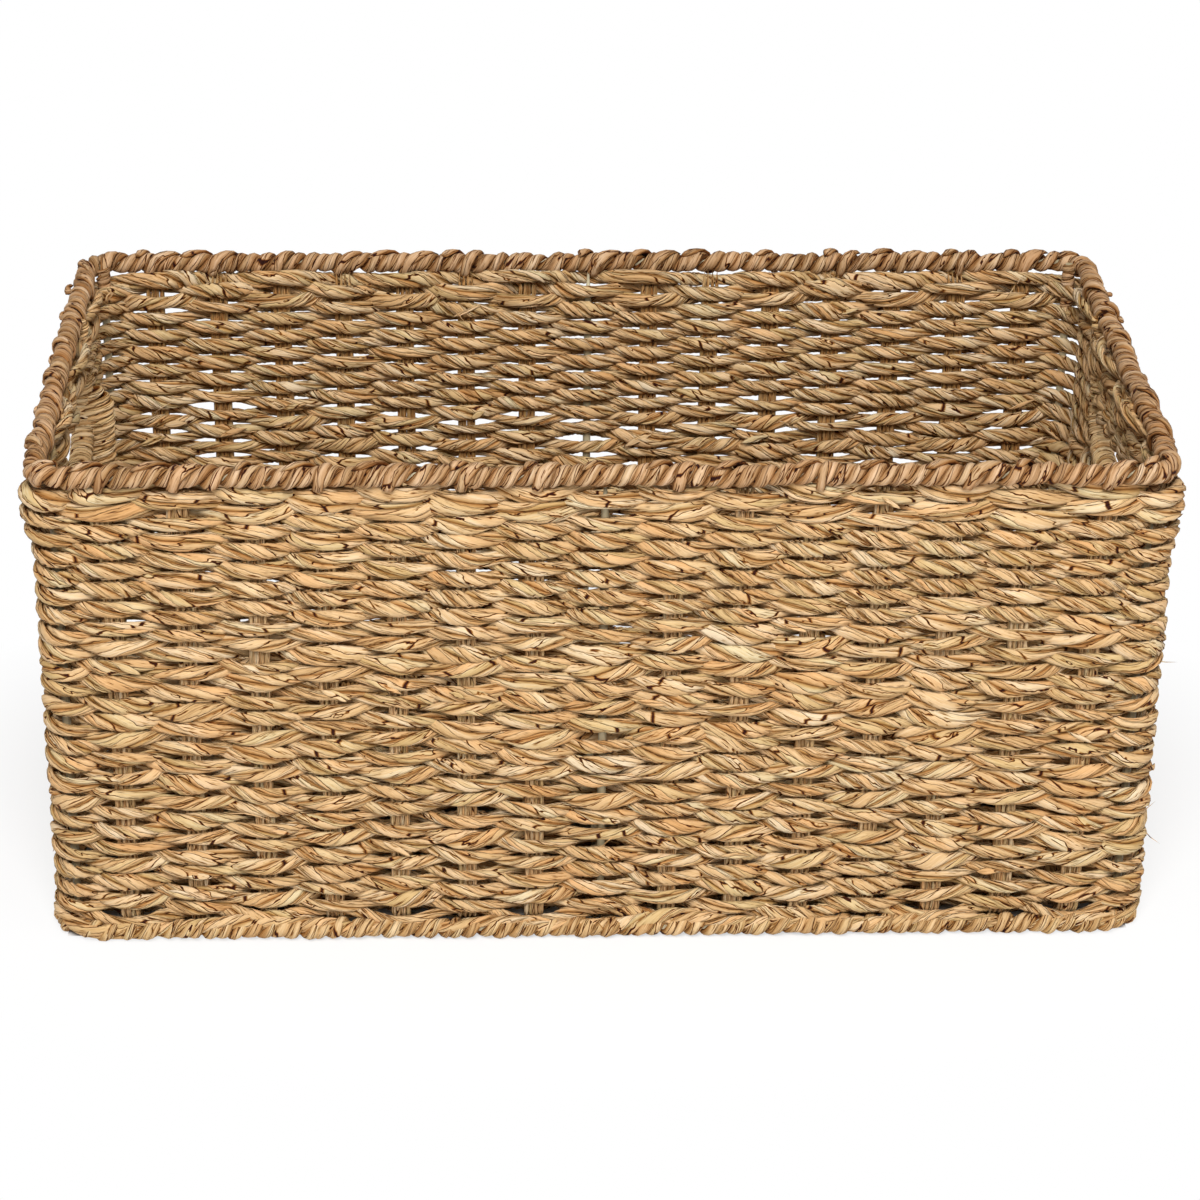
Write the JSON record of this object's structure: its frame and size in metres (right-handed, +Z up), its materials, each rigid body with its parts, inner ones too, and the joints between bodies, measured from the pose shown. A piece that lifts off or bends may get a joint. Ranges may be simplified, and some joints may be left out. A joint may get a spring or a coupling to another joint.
{
  "type": "magazine basket",
  "caption": "Rectangular open-topped basket of woven seagrass on a steel wire frame, with a wrapped rim and a hand hole in each end, for holding magazines.",
  "frame": {"origin": "on the floor, under the middle of the basket", "axes": "+X along the length, the front faces -Y, +Z up"},
  "size_m": [0.45, 0.239, 0.2113],
  "materials": {
    "frame_wire": "satin",
    "woven_cord": "matt",
    "stake_cord": "matt",
    "wound_strand": "matt"
  },
  "bodies": {
    "root": {"top_rim_wire": "frame_wire", "bottom_rim_wire": "frame_wire", "front_left_post": "frame_wire", "front_right_post": "frame_wire", "back_right_post": "frame_wire", "back_left_post": "frame_wire", "front_middle_post": "frame_wire", "back_middle_post": "frame_wire", "base_middle_wire": "frame_wire", "left_handle_wire": "frame_wire", "right_handle_wire": "frame_wire", "rim_wrap": "wound_strand", "border_wrap": "wound_strand", "left_handle_wrap": "wound_strand", "right_handle_wrap": "wound_strand", "weaver_row_01": "woven_cord", "weaver_row_02": "woven_cord", "weaver_row_08": "woven_cord", "weaver_row_09": "woven_cord", "weaver_row_10": "woven_cord", "weaver_row_11": "woven_cord", "weaver_row_12": "woven_cord", "weaver_row_13": "woven_cord", "weaver_row_14": "woven_cord", "weaver_row_15": "woven_cord", "weaver_row_16": "woven_cord", "weaver_row_17": "woven_cord", "weaver_row_18": "woven_cord", "weaver_row_19": "woven_cord", "weaver_row_20": "woven_cord", "weaver_row_21": "woven_cord", "weaver_row_22": "woven_cord", "weaver_row_23": "woven_cord", "front_band_weaver": "woven_cord", "back_band_weaver": "woven_cord", "base_cord": "woven_cord", "cross_stake_01": "stake_cord", "cross_stake_02": "stake_cord", "cross_stake_03": "stake_cord", "cross_stake_04": "stake_cord", "cross_stake_05": "stake_cord", "cross_stake_06": "stake_cord", "cross_stake_07": "stake_cord", "cross_stake_08": "stake_cord", "cross_stake_09": "stake_cord", "cross_stake_10": "stake_cord", "cross_stake_11": "stake_cord", "cross_stake_12": "stake_cord", "cross_stake_13": "stake_cord", "cross_stake_14": "stake_cord", "length_stake_1": "stake_cord", "length_stake_2": "stake_cord", "length_stake_3": "stake_cord", "length_stake_4": "stake_cord", "length_stake_5": "stake_cord", "length_stake_6": "stake_cord", "left_front_short_stake": "stake_cord", "left_back_short_stake": "stake_cord", "right_front_short_stake": "stake_cord", "right_back_short_stake": "stake_cord"}
  },
  "joints": []
}
